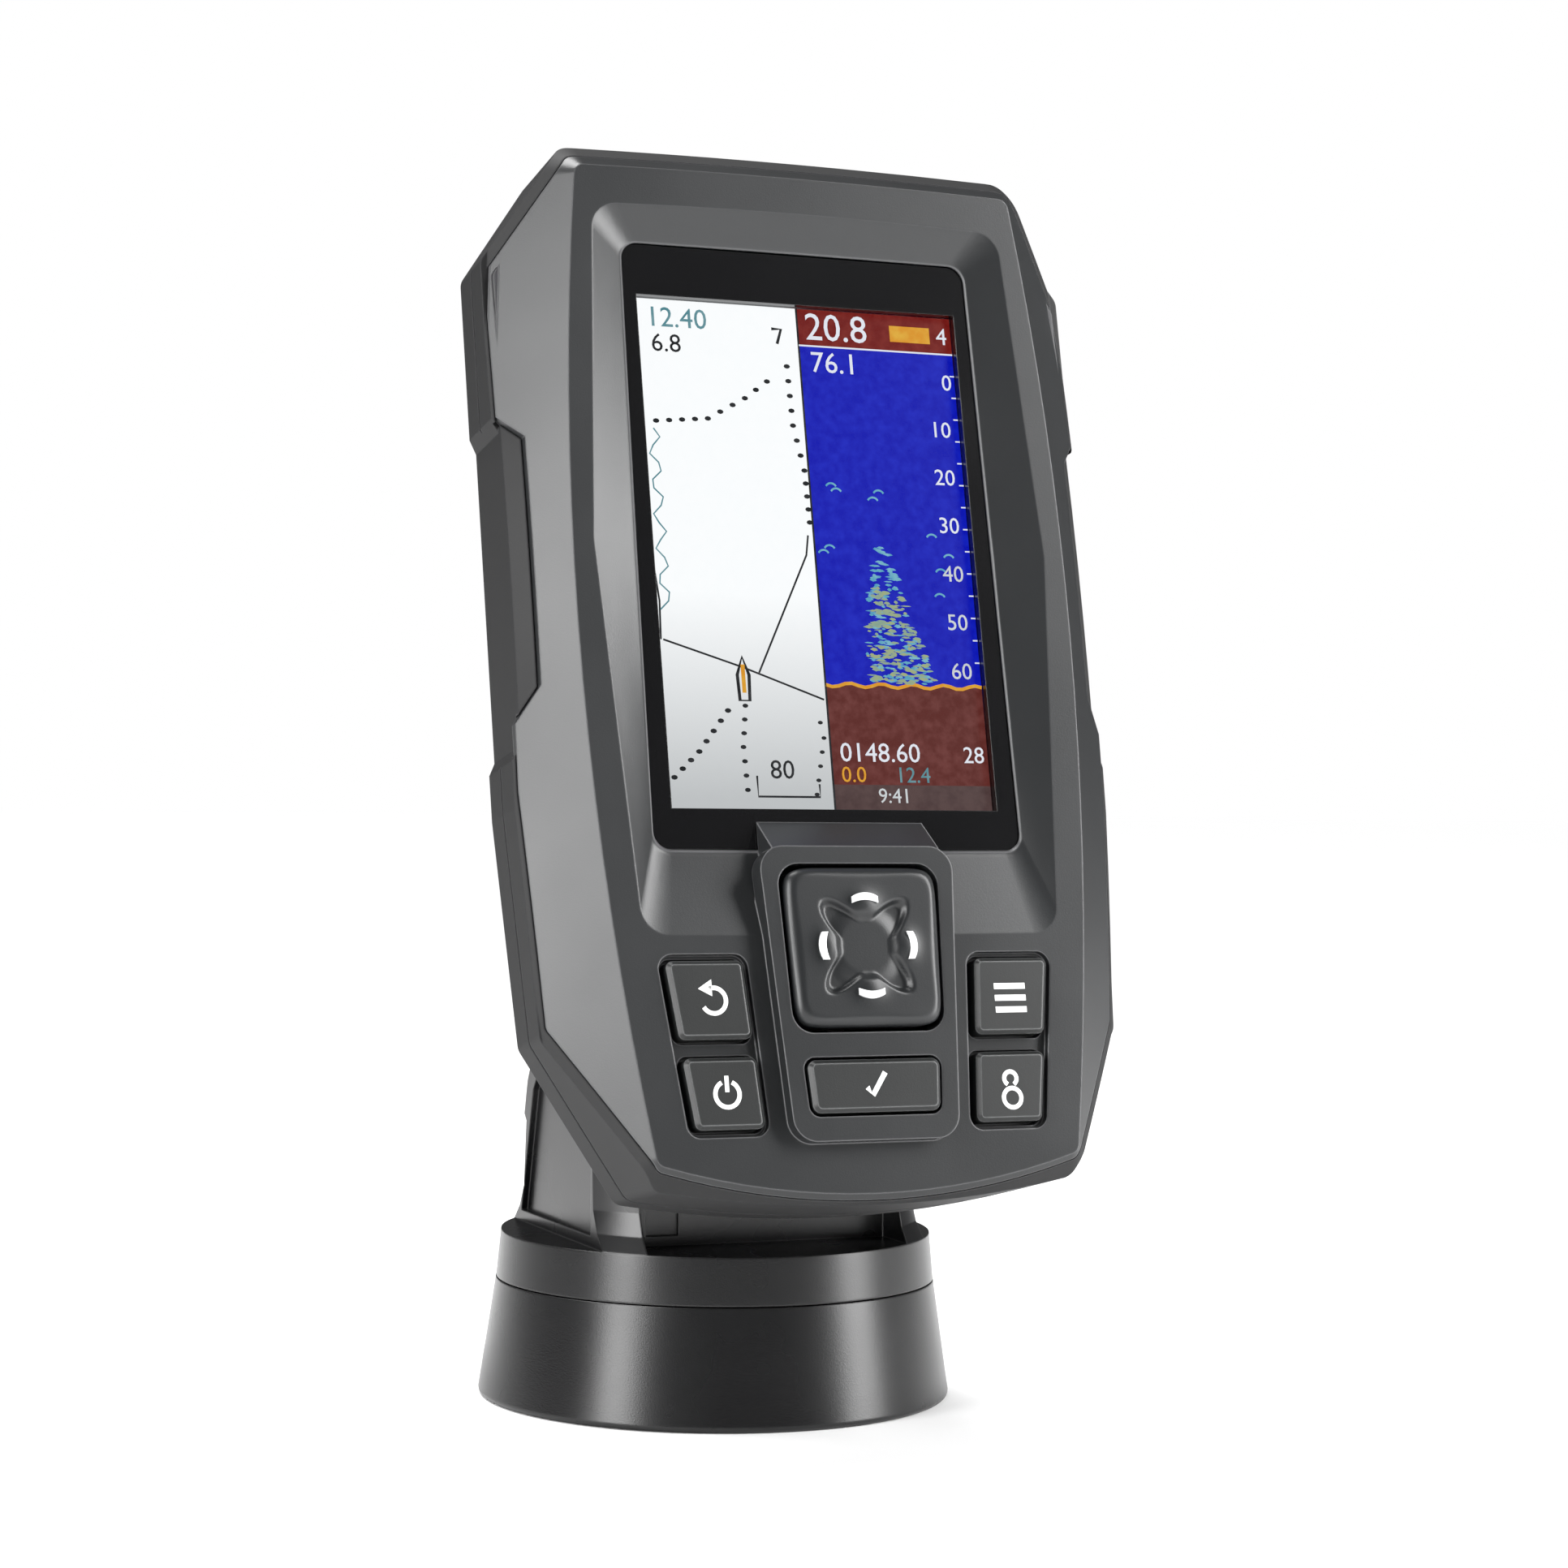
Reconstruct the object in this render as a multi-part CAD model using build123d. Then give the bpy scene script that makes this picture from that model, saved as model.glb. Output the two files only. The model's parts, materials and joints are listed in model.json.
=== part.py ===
"""Portable fish finder on a swivelling and tilting stand.

A handheld-size sonar and chart display in a two-part casing stands on a round base. The
casing hangs between two arms on a tilt axle, and the arms turn on the base. Behind the
front wall are the display, the keys and their board, and at the back the cable inlet.

Millimetres, +X to the right, +Y to the back, +Z up, origin in the middle of the base's
underside. The head is drawn upright with its front face at Y = 0 and the middle of the
display at the origin, and is then leaned back and lifted on to the stand.
"""
from build123d import *
import os

os.makedirs("parts", exist_ok=True)

# ---------------------------------------------------------------- driving dimensions
# Head placement
HEAD_LEAN = 12.97            # degrees, top away from the user
HEAD_Y = -38.14              # middle of the display, at the front face
HEAD_Z = 125.27

# Display: a 3.5 inch, 3:2 panel
SCREEN_W = 49.3
LENS_FRONT = 2.85            # depth of the lens behind the front face
LENS_THICK = 1.5
LIP_BACK = 2.6               # back of the sloped lip around the lens

# Casing
WALL = 2.2
FLANK_STOP = 14.0            # depth at which the 45 degree flank is drawn to
SHELL_BACK = 9.0             # parting plane of the casing, shell side
HOUSING_FRONT = 9.2
SIDE_BACK = 18.5             # where the side walls turn in
BACK_WALL = 24.5
BULGE_HALF = 19.4            # half width of the pivot housing
BULGE_BACK = 43.0
LIP_GAP = 0.1                # between the shell and the housing's lip
ISLAND_PROUD = 2.2

# Tilt axle, in the head's frame
PIVOT_Y = 36.0
PIVOT_Z = -56.5
STUD_R = 4.0

# Keys
KEY_GAP = 0.45
KEY_PROUD = 1.0
FLANGE = (2.3, 3.1)          # depths of the flange that keeps a key in
STEM_END = 8.5
DPAD_GAP = 0.6
GIMBAL_Y = 4.0
GIMBAL_Z = -57.5
GIMBAL_PIN_R = 0.7

# Boards and what is on them
MAT = (4.2, 5.0)
BOARD = (9.7, 11.3)

# Power and transducer inlet on the back
INLET_Z = -40.0
INLET_R = 8.5
INLET_END = 50.5
INLET_BORE_R = 6.9
PIN_R = 0.6
PIN_CIRCLE = 10.0

# Stand
BASE_R = 35.55
BASE_TOP_R = 33.0
BASE_H = 17.4
CRADLE_Z = 17.6
RING_TOP_Z = 24.5
RING_TOP_R = 32.3
POST_R = 8.0
POST_TOP = 22.7
RUNNING = 0.06               # radial clearance of every turning fit
ARM_IN = 20.3
ARM_OUT = 25.3
ARM_TIP_R = 9.5
MOUNT_HOLE_R = 2.1
MOUNT_PCD = 47.0

NODES = {}


# ---------------------------------------------------------------- helpers
def slab(profile, front, back):
    """A flat profile (x, z) made solid from depth `front` to depth `back`."""
    return Pos(0, back, 0) * extrude(Plane.XZ * profile, back - front, dir=(0, -1, 0))


def outline(right, top, bottom, radius, side_mid=None):
    """A symmetric closed outline from its right-hand corners, top to bottom, with arched
    top and bottom edges and straight or arched sides."""
    left = [(-x, z) for x, z in right]
    edges = [ThreePointArc(left[0], (0, top), right[0])]
    edges += [ThreePointArc(right[-1], (0, bottom), left[-1])]
    for side, sign in ((right, 1), (left, -1)):
        if side_mid:
            edges += [ThreePointArc(side[0], (sign * side_mid[0], side_mid[1]), side[-1])]
        else:
            edges += [Line(a, b) for a, b in zip(side, side[1:])]
    face = make_face(Sketch() + edges)
    return fillet(face.vertices(), radius)


def quad(top, bottom, radius):
    """A four-sided outline from (x0, x1, z) at its top and at its bottom."""
    shape = Polygon((top[0], top[2]), (top[1], top[2]), (bottom[1], bottom[2]),
                    (bottom[0], bottom[2]), align=None)
    return fillet(shape.vertices(), radius)


def rect(width, height, x=0.0, z=0.0, radius=0.0):
    """A rectangle in the (x, z) plane."""
    if radius:
        return Pos(x, z) * RectangleRounded(width, height, radius)
    return Pos(x, z) * Rectangle(width, height)


def rod_y(radius, front, back, x=0.0, z=0.0):
    """A round bar along Y."""
    return slab(Pos(x, z) * Circle(radius), front, back)


def rod_x(radius, x0, x1, y, z):
    """A round bar along X."""
    bar = Cylinder(radius, x1 - x0, align=(Align.CENTER, Align.CENTER, Align.MIN))
    return Pos(x0, y, z) * Rot(0, 90, 0) * bar


def rod_z(radius, z0, z1, x=0.0, y=0.0):
    """A round bar along Z."""
    bar = Cylinder(radius, z1 - z0, align=(Align.CENTER, Align.CENTER, Align.MIN))
    return Pos(x, y, z0) * bar


def block(x, y, z):
    """A box from three (low, high) pairs."""
    size = Box(x[1] - x[0], y[1] - y[0], z[1] - z[0])
    return Pos((x[0] + x[1]) / 2, (y[0] + y[1]) / 2, (z[0] + z[1]) / 2) * size


def both(shape):
    """A shape and its mirror image on the other side."""
    return shape + mirror(shape, Plane.YZ)


def node(name, shape):
    """Keep a stand part as it is drawn."""
    NODES[name] = shape


def head_node(name, shape):
    """Keep a head part, moved to where the head sits."""
    NODES[name] = Location((0, HEAD_Y, HEAD_Z), (-HEAD_LEAN, 0, 0)) * shape


# ---------------------------------------------------------------- outlines of the head
def face(grow=0.0):
    """The front face's outline, or the same offset outwards by `grow`."""
    corners = [(33.8 + 0.89 * grow, 54.8 + 0.97 * grow), (31.4 + 0.9 * grow, -86.2 - 0.77 * grow)]
    return outline(corners, 55.3 + grow, -91.0 - grow, 1.6 + grow, (37.7 + grow, -8.0))


def flank_solid(front, grow=0.0):
    """A solid that starts as the front face's outline and widens backwards at 45 degrees."""
    back = FLANK_STOP
    return loft([Pos(0, front, 0) * (Plane.XZ * face(grow)),
                 Pos(0, back, 0) * (Plane.XZ * face(grow + back - front))], ruled=True)


shell_outline = outline([(34.2, 56.6), (45.0, 41.0), (45.0, -34.0), (42.9, -66.5),
                         (31.2, -87.0)], 57.1, -91.8, 1.6)
case_corners = [(34.6, 58.7), (45.5, 42.9), (45.5, -36.0), (43.7, -67.8), (31.2, -89.4)]
case_outline = outline(case_corners, 59.2, -92.4, 2.4)
back_outline = outline([(x - 7.0, z * 0.92) for x, z in case_corners], 54.2, -85.4, 2.4)
recess_outline = outline([(31.6, 49.2), (34.6, 0.0), (31.2, -55.2)], 49.9, -55.4, 4.0)
lens_outline = outline([(26.74, 44.6), (27.91, -42.9)], 44.7, -43.0, 2.5)
island_outline = quad((-14.7, 14.7, -43.3), (-12.2, 12.2, -84.0), 3.5)

# Grip notch in each side of the shell, filled by a tab of the housing
notch = Polygon((42.0, 15.9), (50.0, 25.5), (50.0, -32.5), (42.0, -19.7), align=None)
notches = notch + mirror(notch, Plane.YZ)
cavity_outline = offset(shell_outline, -2.6) - offset(notches, 2.8, kind=Kind.INTERSECTION)

# Key outlines: (x0, x1, z) at the top and at the bottom, on the right-hand side
upper_key = ((17.5, 28.7, -58.9), (16.7, 27.3, -69.6))
lower_key = ((16.5, 27.1, -72.1), (15.8, 25.8, -81.8))
pocket = quad((16.6, 29.7, -57.9), (14.9, 26.7, -82.8), 2.0)
ok_outline = quad((-9.9, 9.9, -73.0), (-9.4, 9.4, -80.2), 1.2)
dpad_outline = quad((-11.5, 11.5, -46.4), (-10.7, 10.7, -68.6), 2.5)
key_outlines = {"menu_key": quad(*upper_key, 1.0), "mark_key": quad(*lower_key, 1.0)}
key_outlines["back_key"] = mirror(key_outlines["menu_key"], Plane.YZ)
key_outlines["power_key"] = mirror(key_outlines["mark_key"], Plane.YZ)
key_outlines["ok_key"] = ok_outline
STEMS = {"menu_key": (22.2, -64.2), "mark_key": (21.2, -77.0), "back_key": (-22.2, -64.2),
         "power_key": (-21.2, -77.0), "ok_key": (0.0, -76.6)}

CASE_SCREWS = [(s * x, z) for x, z in ((36.0, 36.0), (36.4, -33.0), (34.0, -71.0))
               for s in (-1, 1)]
BRACKET_SCREWS = [(-30.6, 40.0), (30.6, 40.0), (-31.2, -38.0), (31.2, -38.0)]

# ---------------------------------------------------------------- front shell
flank = flank_solid(0.0)
shell = flank & slab(shell_outline, 0.0, SHELL_BACK)
inner = flank_solid(WALL, -1.2) & slab(cavity_outline, WALL, 12.0)
shell -= inner
display_wall = slab(offset(recess_outline, 1.2), 0.5, 4.8)
display_wall += slab(offset(lens_outline, 3.2), 0.5, 8.0)
for x, z in BRACKET_SCREWS:
    display_wall += rod_y(2.2, 0.5, 8.0, x, z)
shell += display_wall & flank & slab(shell_outline, 0.0, SHELL_BACK)
recess = loft([Plane.XZ * recess_outline,
               Pos(0, LIP_BACK, 0) * (Plane.XZ * outline([(26.74, 44.6), (27.4, 0.0),
                                                         (27.91, -42.9)], 44.7, -43.0, 2.5))],
              ruled=True)
shell -= recess
shell -= slab(offset(lens_outline, 1.0), LIP_BACK, 9.5)
shell += slab(island_outline, -ISLAND_PROUD, 1.0)
island_root = Polygon((-ISLAND_PROUD, -43.6), (LIP_BACK, -39.0), (LIP_BACK, -57.0),
                      (-ISLAND_PROUD, -57.0), align=None)
shell += extrude(Plane.YZ * island_root, 12.6, both=True)
shell -= slab(offset(dpad_outline, DPAD_GAP), -4.0, 6.0)
shell -= slab(offset(ok_outline, KEY_GAP), -4.0, 6.0)
for sign in (-1, 1):
    shell -= slab(pocket if sign > 0 else mirror(pocket, Plane.YZ), -1.0, 1.1)
    shell += block((min(sign * 12.7, sign * 14.3), max(sign * 12.7, sign * 14.3)),
                   (1.5, GIMBAL_Y + 1.6), (GIMBAL_Z - 2.0, GIMBAL_Z + 2.0))
for name in ("menu_key", "mark_key", "back_key", "power_key"):
    shell -= slab(offset(key_outlines[name], KEY_GAP), -1.0, 6.0)
shell -= rod_x(GIMBAL_PIN_R + RUNNING, -14.0, 14.0, GIMBAL_Y, GIMBAL_Z)
shell -= slab(notches, -1.0, 12.0)
for x, z in CASE_SCREWS:
    post = rod_y(3.0, 1.5, SHELL_BACK, x, z) & flank
    shell = (shell + post) - rod_y(1.0, 3.6, SHELL_BACK + 1, x, z)
for x, z in BRACKET_SCREWS:
    shell -= rod_y(0.7, 4.8, 8.5, x, z)
seal_path = offset(cavity_outline, 1.7) - offset(cavity_outline, 0.7)
shell -= slab(seal_path, SHELL_BACK - 1.0, SHELL_BACK + 0.5)
head_node("front_shell", shell)

# ---------------------------------------------------------------- rear housing
outer = slab(case_outline, 0.0, SIDE_BACK) & flank
outer += slab(case_outline, HOUSING_FRONT, SIDE_BACK)
outer += loft([Pos(0, SIDE_BACK, 0) * (Plane.XZ * case_outline),
               Pos(0, BACK_WALL, 0) * (Plane.XZ * back_outline)], ruled=True)
bulge_side = Polygon((20.0, -14.0), (BULGE_BACK - 4.0, -26.0), (BULGE_BACK, -30.0),
                     (BULGE_BACK, -68.0), (36.0, -79.5), (20.0, -83.5), align=None)
bulge = extrude(Plane.YZ * bulge_side, BULGE_HALF, both=True)
bulge = fillet(bulge.edges().filter_by(Axis.X).sort_by(Axis.Y)[-4:], 2.0)
outer += bulge
# Side grip recess, and a fine line round the side wall
grip = Polygon((44.3, 17.6), (50.0, 26.0), (50.0, -37.0), (44.3, -27.4), align=None)
outer -= slab(grip + mirror(grip, Plane.YZ), -1.0, 22.0)
outer -= slab(offset(case_outline, 3.0) - offset(case_outline, -0.35), 13.4, 13.9)

housing = outer - slab(offset(shell_outline, LIP_GAP), -1.0, HOUSING_FRONT)
tab = Pos(0, 1.1, 0) * flank & slab(offset(notches, -0.15, kind=Kind.INTERSECTION), 0.0, 12.0)
housing += tab & slab(rect(88.6, 80.0), 0.0, 12.0)
hollow = slab(offset(cavity_outline, 0.2), HOUSING_FRONT - 0.5, SIDE_BACK - 1.0)
hollow += loft([Pos(0, SIDE_BACK - 1.0, 0) * (Plane.XZ * offset(back_outline, 4.2)),
                Pos(0, BACK_WALL - WALL, 0) * (Plane.XZ * offset(back_outline, -1.0))],
               ruled=True)
hollow_side = Polygon((18.0, -18.0), (BULGE_BACK - 5.4, -28.5), (BULGE_BACK - WALL, -32.0),
                      (BULGE_BACK - WALL, -66.8), (34.8, -77.6), (18.0, -80.8), align=None)
hollow += extrude(Plane.YZ * hollow_side, BULGE_HALF - WALL, both=True)
housing -= hollow
for x, z in CASE_SCREWS:
    post = rod_y(4.2, HOUSING_FRONT, 24.0, x, z)
    housing = housing + (post & outer)
for x, z in CASE_SCREWS:
    housing -= rod_y(1.5, 5.0, 26.0, x, z)
    housing -= rod_y(3.0, 17.0, 30.0, x, z)
housing -= slab(seal_path, HOUSING_FRONT - 0.5, HOUSING_FRONT + 0.4)
# Sockets for the tilt studs, the inlet's seat and the pressure vent
stud_blocks = both(rod_x(7.0, 10.0, BULGE_HALF - 1.0, PIVOT_Y, PIVOT_Z)) & outer
housing += stud_blocks
housing -= both(rod_x(STUD_R, 11.5, BULGE_HALF + 1.0, PIVOT_Y, PIVOT_Z))
housing -= rod_y(INLET_R - 1.9, BULGE_BACK - 5, BULGE_BACK + 1, 0, INLET_Z)
housing -= rod_y(1.6, BULGE_BACK - 5, BULGE_BACK + 1, 0, -63.5)
head_node("rear_housing", housing)

seal = slab(offset(cavity_outline, 1.65) - offset(cavity_outline, 0.75), 8.05, 9.55)
head_node("housing_seal", seal)

# ---------------------------------------------------------------- display
lens = slab(offset(lens_outline, 0.9), LENS_FRONT, LENS_FRONT + LENS_THICK)
head_node("display_lens", lens)
gasket = slab(offset(lens_outline, 0.9) - offset(lens_outline, 0.1), LIP_BACK, LENS_FRONT)
head_node("lens_gasket", gasket)
lens_back = LENS_FRONT + LENS_THICK
head_node("lcd_panel", slab(rect(SCREEN_W + 1.6, 79.0), lens_back, 5.95))
light = slab(rect(SCREEN_W + 2.2, 80.4), 6.0, 7.8)
head_node("lcd_backlight", light)
bracket = slab(rect(65.5, 84.0, 0, 1.0, 3.0), 8.05, 8.85)
bracket -= slab(rect(40.0, 56.0, 0, 1.0, 2.0), 8.0, 9.0)
for x, z in BRACKET_SCREWS:
    bracket -= rod_y(1.0, 8.0, 9.0, x, z)
head_node("lcd_bracket", bracket)
bracket_screws = Part()
for x, z in BRACKET_SCREWS:
    bracket_screws += rod_y(0.7, 4.9, 8.85, x, z) + rod_y(1.5, 8.85, 9.6, x, z)
head_node("bracket_screws", bracket_screws)
flex = slab(rect(14.0, 5.0, 0, -40.0), 8.9, 9.1) + slab(rect(14.0, 1.0, 0, -42.0), 6.4, 9.1)
head_node("lcd_flex", flex)


# ---------------------------------------------------------------- keys
def key(name, front):
    """A push key: a bevelled cap in its opening, a flange behind the wall and a stem."""
    cap = slab(key_outlines[name], front, WALL + 0.2)
    cap = chamfer(cap.faces().sort_by(Axis.Y)[0].edges(), 0.55)
    flange = slab(offset(key_outlines[name], 0.85), *FLANGE)
    x, z = STEMS[name]
    return cap + flange + rod_y(1.6, FLANGE[0], STEM_END, x, z)


for name in STEMS:
    head_node(name, key(name, -ISLAND_PROUD - 0.8 if name == "ok_key" else -KEY_PROUD))

# D-pad: the cap rocks on a small gimbal plate, and the plate rocks in the shell
cap = slab(dpad_outline, -ISLAND_PROUD - 1.2, 1.0)
cap = chamfer(cap.faces().sort_by(Axis.Y)[0].edges(), 0.7)
dish = Pos(0, -ISLAND_PROUD - 1.2 - 17.0, GIMBAL_Z) * Sphere(18.2)
cap -= dish
cap -= slab(rect(17.5, 17.0, 0, GIMBAL_Z, 2.0), 0.0, 1.5) - rod_y(3.4, -0.5, 2.0, 0, GIMBAL_Z)
cap += rod_y(3.2, -0.8, GIMBAL_Y + 1.4, 0, GIMBAL_Z)
cap += Pos(0, GIMBAL_Y, 0) * rod_z(GIMBAL_PIN_R, GIMBAL_Z - 7.0, GIMBAL_Z + 7.0)
head_node("dpad_cap", cap)
plate = slab(rect(16.0, 16.0, 0, GIMBAL_Z, 2.0), GIMBAL_Y - 1.3, GIMBAL_Y + 1.3)
plate -= rod_y(4.4, 0.0, 8.0, 0, GIMBAL_Z)
plate -= Pos(0, GIMBAL_Y, 0) * rod_z(GIMBAL_PIN_R + RUNNING, GIMBAL_Z - 9, GIMBAL_Z + 9)
plate += both(rod_x(GIMBAL_PIN_R, 7.5, 13.8, GIMBAL_Y, GIMBAL_Z))
head_node("dpad_plate", plate)

# Silicone mat behind the keys, with a way through for each stem and the gimbal
mat = slab(rect(56.0, 26.5, 0, -71.0, 3.0), *MAT) & slab(offset(cavity_outline, -1.0), 0, 9)
mat -= slab(rect(30.0, 12.5, 0, -62.0), 3.0, 6.0)
for x, z in STEMS.values():
    mat -= rod_y(2.0, 3.0, 6.0, x, z)
head_node("keypad_mat", mat)

# ---------------------------------------------------------------- boards
board = slab(rect(56.0, 133.0, 0, -16.5, 4.0) & offset(cavity_outline, -1.5), *BOARD)
BOARD_SCREWS = [(-25.0, 45.0), (25.0, 45.0), (-25.0, -50.0), (25.0, -50.0)]
board_screws = Part()
for x, z in BOARD_SCREWS:
    board -= rod_y(1.3, 9.0, 12.0, x, z)
    board_screws += rod_y(1.25, 9.3, BOARD[1], x, z) + rod_y(2.2, BOARD[1], 12.8, x, z)
head_node("main_board", board)
head_node("board_screws", board_screws)
domes = Part()
for x, z in list(STEMS.values()) + [(0, -49.5), (0, -65.5), (-8, -57.5), (8, -57.5)]:
    domes += rod_y(2.2, BOARD[0] - 0.3, BOARD[0], x, z)
head_node("key_domes", domes)
back = BOARD[1]
head_node("processor_shield", slab(rect(22, 22, -8, 14, 1), back, back + 2.6))
head_node("sonar_transformer", slab(rect(13, 13, 12, -22, 1), back, back + 8.5))
head_node("power_inductor", slab(rect(8, 8, -14, -24, 1), back, back + 4.2))
capacitors = Part()
for x in (-23.0, -15.5):
    capacitors += rod_y(3.1, back, back + 7.5, x, -36.0)
head_node("capacitors", capacitors)
head_node("flash_memory", slab(rect(10, 12, 12, 14), back, back + 1.2))
head_node("gps_antenna", slab(rect(15, 15, 0, 41, 1), back, back + 4.5))
head_node("beeper", rod_y(4.6, back, back + 4.0, 14.5, 30.0))
head_node("ribbon_socket", slab(rect(16, 4, 0, -66), back, back + 3.0))

# ---------------------------------------------------------------- inlet and vent
body = rod_y(INLET_R, BULGE_BACK + 0.02, INLET_END, 0, INLET_Z)
body += rod_y(INLET_R - 2.0, BULGE_BACK - 3.5, BULGE_BACK + 1, 0, INLET_Z)
body -= rod_y(INLET_BORE_R, BULGE_BACK + 1.4, INLET_END + 1, 0, INLET_Z)
inlet_pins = Part()
reach = PIN_CIRCLE / 2 * 0.7071
for x in (-reach, reach):
    for z in (-reach, reach):
        inlet_pins += rod_y(PIN_R, BULGE_BACK + 1.42, INLET_END - 1.6, x, INLET_Z + z)
head_node("inlet_body", body)
head_node("inlet_pins", inlet_pins)
inlet_nut = rod_y(7.6, BULGE_BACK - WALL - 1.4, BULGE_BACK - WALL - 0.2, 0, INLET_Z)
inlet_nut -= rod_y(INLET_R - 1.95, 36.0, 44.0, 0, INLET_Z)
head_node("inlet_nut", inlet_nut)
ribbon = block((-6.0, 6.0), (back + 3.1, back + 3.4), (-66.5, INLET_Z))
ribbon += block((-6.0, 6.0), (back + 3.1, BULGE_BACK - 6.2), (INLET_Z - 0.3, INLET_Z))
head_node("inlet_ribbon", ribbon)
vent = rod_y(1.55, BULGE_BACK - WALL, BULGE_BACK, 0, -63.5)
vent += rod_y(3.0, BULGE_BACK + 0.02, BULGE_BACK + 0.8, 0, -63.5)
head_node("pressure_vent", vent)

case_screws = Part()
for x, z in CASE_SCREWS:
    screw = rod_y(2.7, 17.0, 19.0, x, z) + rod_y(0.98, 5.0, 17.0, x, z)
    case_screws += screw - rod_y(1.1, 18.0, 20.0, x, z)
head_node("case_screws", case_screws)

# ---------------------------------------------------------------- tilt axle
for side, sign in (("left", -1), ("right", 1)):
    stud = rod_x(STUD_R, 11.6, ARM_OUT - 1.2, PIVOT_Y, PIVOT_Z)
    washer = rod_x(6.4, BULGE_HALF + 0.05, ARM_IN - 0.05, PIVOT_Y, PIVOT_Z)
    washer -= rod_x(STUD_R + 0.02, 10.0, 30.0, PIVOT_Y, PIVOT_Z)
    if sign < 0:
        stud = mirror(stud, Plane.YZ)
        washer = mirror(washer, Plane.YZ)
    head_node("tilt_stud_" + side, stud)
    head_node("friction_washer_" + side, washer)

# ---------------------------------------------------------------- stand: base
half_section = Polygon((0, 0), (BASE_R, 0), (BASE_TOP_R, BASE_H), (BASE_TOP_R - 2.6, BASE_H),
                       (BASE_R - 3.0, 3.0), (POST_R, 3.0), (POST_R, POST_TOP + 0.05), (0, POST_TOP + 0.05),
                       align=None)
base = revolve(Plane.XZ * half_section, Axis.Z)
base += rod_z(12.0, 2.0, 15.0) - rod_z(POST_R - 0.5, 0, 16)
base = fillet(base.edges().filter_by(GeomType.CIRCLE).sort_by(Axis.Z)[0], 0.8)
for x in (-1, 1):
    for y in (-1, 1):
        at = MOUNT_PCD / 2 * 0.7071
        base -= rod_z(MOUNT_HOLE_R, -1, 5, x * at, y * at)
base -= rod_z(1.7, 8.0, POST_TOP + 1)
node("swivel_base", base)
ring = rod_z(29.0, 3.0, 14.2) - rod_z(27.2, 2.0, 16.0)
for turn in range(24):
    ring -= Rot(0, 0, 15 * turn) * Pos(28.0, 0, 14.4) * Rot(0, 90, 0) * Cylinder(0.9, 6)
node("detent_ring", ring)

# ---------------------------------------------------------------- stand: cradle
half_section = Polygon((POST_R + RUNNING, 20.6), (RING_TOP_R - 3.2, 20.6),
                       (RING_TOP_R - 2.6, CRADLE_Z), (BASE_TOP_R - 0.05, CRADLE_Z),
                       (RING_TOP_R, RING_TOP_Z), (POST_R + RUNNING, RING_TOP_Z), align=None)
cradle = revolve(Plane.XZ * half_section, Axis.Z)
cradle = fillet(cradle.edges().filter_by(GeomType.CIRCLE).group_by(Axis.Z)[-1][-1:], 0.7)
cradle -= rod_z(12.6, POST_TOP, RING_TOP_Z + 1)
# Arms: one side profile cut from a cone that continues the ring
pivot_at = Location((0, HEAD_Y, HEAD_Z), (-HEAD_LEAN, 0, 0)) * Pos(0, PIVOT_Y, PIVOT_Z)
PY = pivot_at.position.Y
PZ = pivot_at.position.Z
front_foot = [(PY - ARM_TIP_R, PZ), (-22.0, 40.0), (-34.0, 31.0), (-34.0, 22.0)]
rear_foot = [(20.5, 22.0), (14.5, 46.0), (8.0, 58.0), (PY + 6.5, PZ + 6.9)]
arm_edges = Polyline(*front_foot, *rear_foot)
arm_edges += ThreePointArc(rear_foot[-1], (PY, PZ + ARM_TIP_R), front_foot[0])
arm = extrude(Pos(ARM_IN, 0, 0) * (Plane.YZ * make_face(arm_edges)), ARM_OUT - ARM_IN,
              dir=(1, 0, 0))
half_section = Polygon((0, 22), (32.3, 22), (32.2, RING_TOP_Z), (30.7, 26.8), (29.7, 30.0),
                       (29.3, 40), (37.5, 56), (37.5, 80), (0, 80), align=None)
arm &= revolve(Plane.XZ * half_section, Axis.Z)
cradle += both(arm)
web = block((-ARM_IN - 1, ARM_IN + 1), (-16.5, -14.0), (22.0, 32.0))
web -= block((-17.5, -12.5), (-20.0, -16.0), (26.0, 30.5))
cradle += web
cradle -= both(rod_x(STUD_R + RUNNING, ARM_IN - 1, ARM_OUT - 1.1, PY, PZ))
# Sunken panel in the outer side of each arm
panel = make_face(Polyline((-14.4, 26.2), (-14.4, 50.0), (3.0, 56.0), (11.8, 45.0),
                           (16.6, 26.2), (-14.4, 26.2)))
cradle -= both(extrude(Pos(ARM_OUT - 1.0, 0, 0) * (Plane.YZ * panel), 5.0, dir=(1, 0, 0)))
node("swivel_cradle", cradle)

node("swivel_washer", rod_z(12.2, POST_TOP + 0.1, POST_TOP + 1.1) - rod_z(1.7, 20, 30))
screw = rod_z(1.65, 10.0, POST_TOP + 1.2) + rod_z(3.4, POST_TOP + 1.15, POST_TOP + 3.2)
screw -= rod_z(1.6, POST_TOP + 2.0, POST_TOP + 4)
node("swivel_screw", screw)
leaf = block((23.0, 28.4), (-4.5, 4.5), (20.0, 20.55))
leaf += block((27.5, 28.4), (-0.8, 0.8), (14.5, 20.2))
node("detent_spring", leaf)

for name, shape in NODES.items():
    shape.label = name
    export_step(shape, f"parts/{name}.step")
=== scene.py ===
"""Looks for the fish finder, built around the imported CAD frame.

The casing, stand, keys and fasteners are the CAD's own meshes with moulded-plastic, rubber
and metal materials. The lit display, the lens's printed border, the sculpted D-pad and the
key legends are modelled here. Sizes of the head's details are in millimetres, in the head's
own frame: x to the right, y into the head from its front face, z up from the display's middle.
"""
import json
import math
import random

import bmesh
import bpy
from mathutils import Matrix, Vector


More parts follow.
